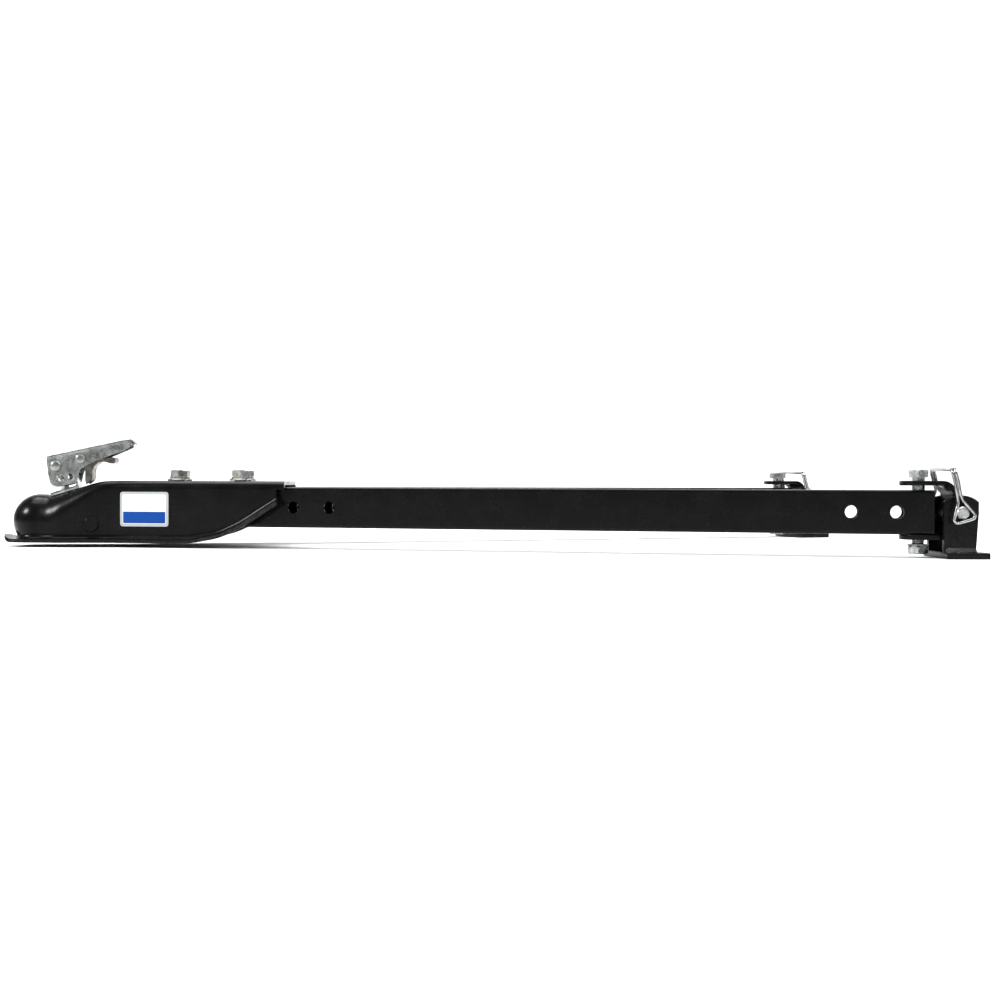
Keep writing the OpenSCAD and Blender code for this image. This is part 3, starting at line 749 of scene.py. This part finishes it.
def label():
    """A badge on the near wall, with no lettering: a silver border, a pale field and a coloured band."""
    low, high = box("rating_label")
    start = Vector((low.x, high.y, 0))
    end = Vector((high.x, low.y, 0))
    along = (end - start).normalized()
    out = Vector((along.y, -along.x, 0))
    middle = (start + end) / 2 + Vector((0, 0, (low.z + high.z) / 2))
    place = axes(along, Vector((0, 0, 1)), out, middle)
    width = (end - start).length - 0.6
    height = high.z - low.z
    field_w = width - 2 * LABEL_BORDER
    field_h = height - 2 * LABEL_BORDER
    band_drop = 0.5 - field_h * (1 - LABEL_BAND) / 2
    border = film_form(width, height, 3, 0, 0.22, False)
    field = film_form(field_w, field_h, 1.6, 0, 0.3, False)
    band = film_form(field_w - 1, field_h * LABEL_BAND, 1.2, band_drop, 0.36, True)
    piece("label_border", moved(border, place), FILM_SILVER, "coupler", ["rating_label"])
    piece("label_field", moved(field, place), FILM_WHITE, "coupler")
    piece("label_band", moved(band, place), FILM_BLUE, "coupler")


# ---- bolts, nuts and washers ----


def bolt(r, pitch, af, head_h, low, under, threaded_from):
    """A hexagon bolt about Z: threaded end at low, head on under, plain shank above threaded_from."""
    plain_r = r - 0.05
    top = under + 0.5
    shank = round_rows([(0, threaded_from), (plain_r, threaded_from), (plain_r, top), (0, top)], 48)
    head = moved(hex_head(af, head_h), upright((0, 0, under)))
    return join(thread(r, pitch, low, threaded_from + 0.2), shank, head)


def pivot_hardware():
    """The two bolts that the arms swing on, with their washers and flanged nuts."""
    low, high = box("pivot_bolts")
    nut_low, nut_high = box("pivot_nuts")
    flat_low = box("pivot_flat_washers")[0].z
    lock_low, lock_high = (corner.z for corner in box("pivot_lock_washers"))
    bore = SMALL_R + 0.2
    flange_t = 2
    nut_h = nut_high.z - nut_low.z - flange_t + 0.1
    bolts, flats, locks, nuts = [], [], [], []
    for turn, side in enumerate(SIDES):
        pivot = joint_point(side + "_arm_swing")

        def at(z, twist=0):
            return upright((pivot.x, pivot.y, z), twist)

        form = bolt(SMALL_R, SMALL_PITCH, SMALL_AF, high.z - lock_high, low.z, lock_high, nut_low.z + 12)
        bolts.append(moved(form, at(0, 14 + 25 * turn)))
        flats.append(moved(washer(FLAT_WASHER_R, bore, lock_low - flat_low), at(flat_low)))
        form = split_washer(LOCK_WASHER_R, bore, lock_high - lock_low)
        locks.append(moved(form, at(lock_low, -100 + 50 * turn)))
        nuts.append(moved(hex_nut(SMALL_AF, nut_h, SMALL_R - 0.3), at(nut_low.z, 8 + 20 * turn)))
        nuts.append(moved(washer(10, SMALL_R + 0.3, flange_t), at(nut_high.z - flange_t)))
    for node_name, forms, look, slot in (("pivot_bolts", bolts, ZINC, "zinc"),
                                         ("pivot_flat_washers", flats, ZINC, "zinc"),
                                         ("pivot_lock_washers", locks, WARM_ZINC, "zinc_yellow"),
                                         ("pivot_nuts", nuts, ZINC, "zinc")):
        piece(node_name + ".final", join(*forms), look, "coupler", [node_name])


def lock_hardware(side):
    """Bolt and washers that lock one arm through its curved slot."""
    body = side + "_arm"
    low, high = box(side + "_lock_bolt")
    washer_low, washer_high = (corner.z for corner in box(side + "_lock_washers"))
    centre = box_middle(side + "_lock_washers")

    def at(z, twist=0):
        return upright((centre.x, centre.y, z), twist)

    lock_low = washer_low + FLAT_WASHER_T
    form = bolt(SMALL_R, SMALL_PITCH, SMALL_AF, high.z - washer_high, low.z, washer_high, washer_low - 2)
    piece(side + "_lock_bolt.final", moved(form, at(0, 20)), ZINC, body, [side + "_lock_bolt"])
    flat = moved(washer(FLAT_WASHER_R, SMALL_R, FLAT_WASHER_T), at(washer_low))
    piece(side + "_lock_flat_washer", flat, ZINC, body, [side + "_lock_washers"])
    split = moved(split_washer(LOCK_WASHER_R, SMALL_R, washer_high - lock_low), at(lock_low, 150))
    look = WARM_ZINC if side == "near" else ZINC
    piece(side + "_lock_split_washer", split, look, body)


def end_hardware(side):
    """Bolt and flanged nut that the yoke swivels on."""
    body = side + "_arm"
    point = joint_point(side + "_yoke_swivel")
    low, high = box(side + "_end_bolt")
    nut_low, nut_high = box(side + "_end_nut")
    twist = 38 if side == "near" else 22

    def at(z, turn=0):
        return upright((point.x, point.y, z), turn)

    under = high.z - LARGE_HEAD_H
    shank_end = nut_high.z + 8
    form = bolt(LARGE_R, LARGE_PITCH, LARGE_AF, LARGE_HEAD_H, low.z, under, shank_end)
    piece(side + "_end_bolt.final", moved(form, at(0, twist)), ZINC, body, [side + "_end_bolt"])
    height = nut_high.z - nut_low.z
    bore = LARGE_R + 0.3
    root = height - NUT_FLANGE_H - 1
    rings = [(bore, root), (HEX_CROWN * LARGE_AF, root), (NUT_FLANGE_R - 0.5, height - 1.2),
             (NUT_FLANGE_R, height - 0.8), (NUT_FLANGE_R, height - 0.3), (NUT_FLANGE_R - 0.4, height),
             (bore, height)]
    flange = round_rows(rings + rings[:1])
    nut = join(hex_nut(LARGE_AF, height - NUT_FLANGE_H, LARGE_R - 0.3), flange)
    nut = moved(nut, at(nut_low.z, twist + 3))
    piece(side + "_end_nut.final", nut, ZINC, body, [side + "_end_nut"])


# ---- brackets, bails and springs ----


def weld_bead(y, side_out):
    """A convex fillet bead along X in the corner at that Y, with the ripples of its passes."""
    rows = []
    length = 2 * EAR_HALF - 3
    steps = 110
    for i in range(steps + 1):
        along = i / steps
        x = -EAR_HALF + 1 + length * along
        taper = math.sqrt(max(1 - abs(2 * along - 1) ** 9, 0))
        row = [(x, y - side_out * 0.5, PLATE_TOP - 0.5)]
        for k in range(13):
            a = math.radians(90 * k / 12)
            bend = x + 1.3 * math.sin(2 * a)
            coarse = noise.noise(Vector((x * 0.9, y, k * 0.5)))
            fine = noise.noise(Vector((x * 2.3, y, k * 1.1)))
            ripple = 0.36 * math.sin(TURN * bend / 1.9) + 0.5 * coarse + 0.3 * fine
            leg = (WELD_LEG + ripple) * taper
            reach = leg * (0.78 + 0.22 * abs(math.cos(2 * a)))
            row.append((x, y + side_out * (reach * math.cos(a) - 0.3), PLATE_TOP + reach * math.sin(a) - 0.3))
        row.append(row[0])
        rows.append(row)
    return grid(rows)


def bend(centre, r, start, end, u, v, steps=4):
    """Points round a bend between two directions in the plane of u and v."""
    points = []
    for i in range(steps + 1):
        a = math.radians(start + (end - start) * i / steps)
        points.append(Vector(centre) + r * (math.cos(a) * Vector(u) + math.sin(a) * Vector(v)))
    return points


def bail_path():
    """A wire bent double: its ends meet in the pin's cross hole, its fold is a loop round the pin's tip."""
    y, z = (0, 1, 0), (0, 0, 1)
    half = WIRE_R + 0.1
    far_leg = [(-1.7, 0), (-6.5, 0), (-8.4, 0.9), (-9.1, 3), (-9.1, 10), (-8.2, 13), (-2.9, 20.8),
               (-half, 24)]
    first = [(along, BAIL_PIVOT_Y, up) for along, up in far_leg]
    first += bend((-half, BAIL_PIVOT_Y - BAIL_R, BAIL_H - BAIL_R), BAIL_R, 0, 90, y, z)
    first += bend((-half, BAIL_R - BAIL_Y, BAIL_H - BAIL_R), BAIL_R, 90, 180, y, z)
    loop = [(-1.7, 32), (-2.5, 20), (-3.3, 13), (-4.4, 10), (-11, -2.3), (-11.6, -4.9), (-10.2, -7.4),
            (-7.4, -8.4), (5.4, -8), (8, -7), (9.3, -4.8), (8.8, -2.2), (2.4, 10.6), (1.2, 14), (0.8, 20.5),
            (1.6, 30)]
    second = [(-along, across, up) for along, across, up in reversed(first)]
    return first + [(along, -BAIL_Y, up) for along, up in loop] + second


def bail(side):
    lean = Matrix.Rotation(-math.radians(BAIL_LEAN), 4, "Y")
    form = moved(sweep(flow(bail_path(), 1.0), WIRE_R, 18), pin_place(side) @ lean)
    piece(side + "_bail.final", form, WIRE, side + "_bail", [side + "_bail"], angle=60)


def clamp_spring():
    """Compression spring on the latch stem, under the roof."""
    low, high = box("clamp_spring")
    wire_r = 1
    coil_r = 7.2
    turns = 5
    steps = 150
    length = (high.z - low.z) / stem_axis.z - 2 * wire_r - 4
    coil = []
    for i in range(steps + 1):
        a = TURN * turns * i / steps
        coil.append((coil_r * math.cos(a), coil_r * math.sin(a), length * (i / steps - 0.5)))
    form = moved(sweep(coil, wire_r, 12), stem_place)
    piece("clamp_spring.final", form, WIRE, "stem", ["clamp_spring"], angle=60)


def trigger_spring():
    """Torsion spring round the trigger's rivet."""
    centre = joint_point("trigger_squeeze")
    steps = 110
    turns = 4.4
    coil_r = 4.6
    coil_w = 5
    coil = []
    for i in range(steps + 1):
        a = TURN * turns * i / steps
        across = coil_w * (i / steps - 0.5)
        coil.append((centre.x + coil_r * math.cos(a), across, centre.z + coil_r * math.sin(a)))
    form = sweep(coil, 0.55, 10)
    piece("trigger_spring.final", form, WIRE, "lever", ["trigger_spring"], angle=60)


def rivet(name, joint, head_r, shank_r):
    """A rivet along Y with domed heads, in the place of its CAD node."""
    low, high = box(name)
    under = (high.y - low.y) / 2 - RIVET_RISE
    angles = [TURN / 4 * k / 10 for k in range(11)]
    head = [(head_r * math.cos(a), under + RIVET_RISE * math.sin(a)) for a in angles]
    side_out = [(shank_r, 0), (shank_r, under), (head_r - 0.3, under)] + head
    rings = [(r, -z) for r, z in reversed(side_out)] + side_out
    place = Matrix.Translation(joint_point(joint)) @ Matrix.Rotation(-TURN / 4, 4, "X")
    body = frame["nodes"][name]["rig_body"]
    piece(name + ".final", moved(round_rows(rings, 48), place), RIVET_ZINC, body, [name])


# ---- build ----

coupler_shell()
label()
pivot_hardware()
clamp_spring()
trigger_spring()
finished("clamp_pivot_pin", COAT, 0.7)
finished("latch_saddle", ZINC, 0.7)
finished("pivot_spacers", ZINC, 0.3)
finished("latch_stem", ZINC, 0.5)
finished("stem_washer", ZINC, 0.3)
finished("stem_nut", ZINC, 0.4)
rivet("lever_rivet", "lever_open", 6.3, 3.9)
rivet("trigger_rivet", "trigger_squeeze", 6, 3.3)
finished("latch_lever", LEVER_ZINC, 0.7)
finished("latch_trigger", TRIGGER_ZINC, 0.9)
finished("ball_clamp", CAST, 0.8)
for side in SIDES:
    finished(side + "_arm_tube", COAT, 0.5)
    finished(side + "_lock_nut", ZINC, 0.4)
    finished(side + "_yoke", COAT, 0.8)
    finished(side + "_yoke_sleeve", COAT, 0.4)
    finished(side + "_base_plate", COAT, 0.9)
    finished(side + "_bracket_ears", COAT, 0.9)
    finished(side + "_hitch_pin", ZINC, 0.3)
    beads = join(weld_bead(EAR_OUTER_Y, 1), weld_bead(-EAR_OUTER_Y, -1))
    piece(side + "_bracket_welds.final", moved(beads, pin_place(side)), WELD_COAT,
          side + "_bracket", [side + "_bracket_welds"], angle=60)
    lock_hardware(side)
    end_hardware(side)
    bail(side)

# ---- studio: pale floor, soft light and the camera ----

# In metres from here on
FLOOR_HALF = 6
BACKDROP_Y = 3.2
BACKDROP_R = 1.2
BACKDROP_H = 5


def studio_floor():
    """A pale floor that bends up into a backdrop behind the object."""
    bend_y = BACKDROP_Y - BACKDROP_R
    profile = [(-FLOOR_HALF, 0), (bend_y, 0)]
    for k in range(1, 13):
        a = math.radians(90 * k / 12)
        profile.append((bend_y + BACKDROP_R * math.sin(a), BACKDROP_R * (1 - math.cos(a))))
    profile.append((BACKDROP_Y, BACKDROP_H))
    ground = cad_low.z / MM
    rows = [[(x / MM, y / MM, ground + z / MM) for x in (-FLOOR_HALF, FLOOR_HALF)] for y, z in profile]
    floor = mesh_object("studio_floor", grid(rows))
    shade(floor.data, 60)
    look, tree, surface = shader("studio_paper", 0, 0.85, (0.9, 0.9, 0.9))
    paper = blend_colours(tree, cloud(tree, 40, 0, 1), (0.89, 0.89, 0.89), (0.92, 0.92, 0.92))
    tree.links.new(paper, surface.inputs["Base Color"])
    floor.data.materials.append(look)


def area_light(name, place, target, size, power):
    """A soft box at a place, aimed at a target."""
    light = bpy.data.lights.new(name, "AREA")
    light.shape = "RECTANGLE"
    light.size = size[0]
    light.size_y = size[1]
    light.energy = power
    lamp = bpy.data.objects.new(name, light)
    lamp.location = place
    lamp.rotation_euler = (Vector(target) - Vector(place)).to_track_quat("-Z", "Y").to_euler()
    bpy.context.scene.collection.objects.link(lamp)


# The camera stands low and close on the near side, and sees the bar nearly edge on
CAMERA_PLACE = (0.405, -1.561, 0.0455)
CAMERA_YAW = 4.378          # degrees turned towards +X
CAMERA_PITCH = 0.773        # degrees down
CAMERA_ROLL = 0.206
CAMERA_LENS = 48.18
SENSOR = 36


def camera():
    lens = bpy.data.cameras.new("camera")
    lens.lens = CAMERA_LENS
    lens.sensor_width = SENSOR
    lens.clip_end = 50
    view = bpy.data.objects.new("camera", lens)
    yaw = Matrix.Rotation(-math.radians(CAMERA_YAW), 4, "Z")
    pitch = Matrix.Rotation(math.radians(90 - CAMERA_PITCH), 4, "X")
    roll = Matrix.Rotation(math.radians(CAMERA_ROLL), 4, "Z")
    view.matrix_world = Matrix.Translation(CAMERA_PLACE) @ yaw @ pitch @ roll
    bpy.context.scene.collection.objects.link(view)
    bpy.context.scene.camera = view
    bpy.context.scene.view_settings.view_transform = "Standard"


def world_light():
    """A dim, even light from all round, so that the coat stays black."""
    world = bpy.data.worlds.new("studio")
    world.use_nodes = True
    background = world.node_tree.nodes["Background"]
    background.inputs["Color"].default_value = (1, 1, 1, 1)
    background.inputs["Strength"].default_value = 0.22
    bpy.context.scene.world = world


studio_floor()
world_light()
camera()
area_light("overhead", (0.4, 0.0, 2.0), (0.45, 0.1, 0), (2.6, 1.4), 58)
area_light("front_left", (-1.7, -0.8, 1.2), (0.1, 0, 0), (0.5, 0.4), 55)
area_light("front_right", (1.9, -1.2, 1.4), (0.7, 0, 0), (0.7, 0.5), 22)
area_light("backdrop", (0.5, 1.2, 2.6), (0.5, 3.2, 0.4), (3.4, 1.0), 90)
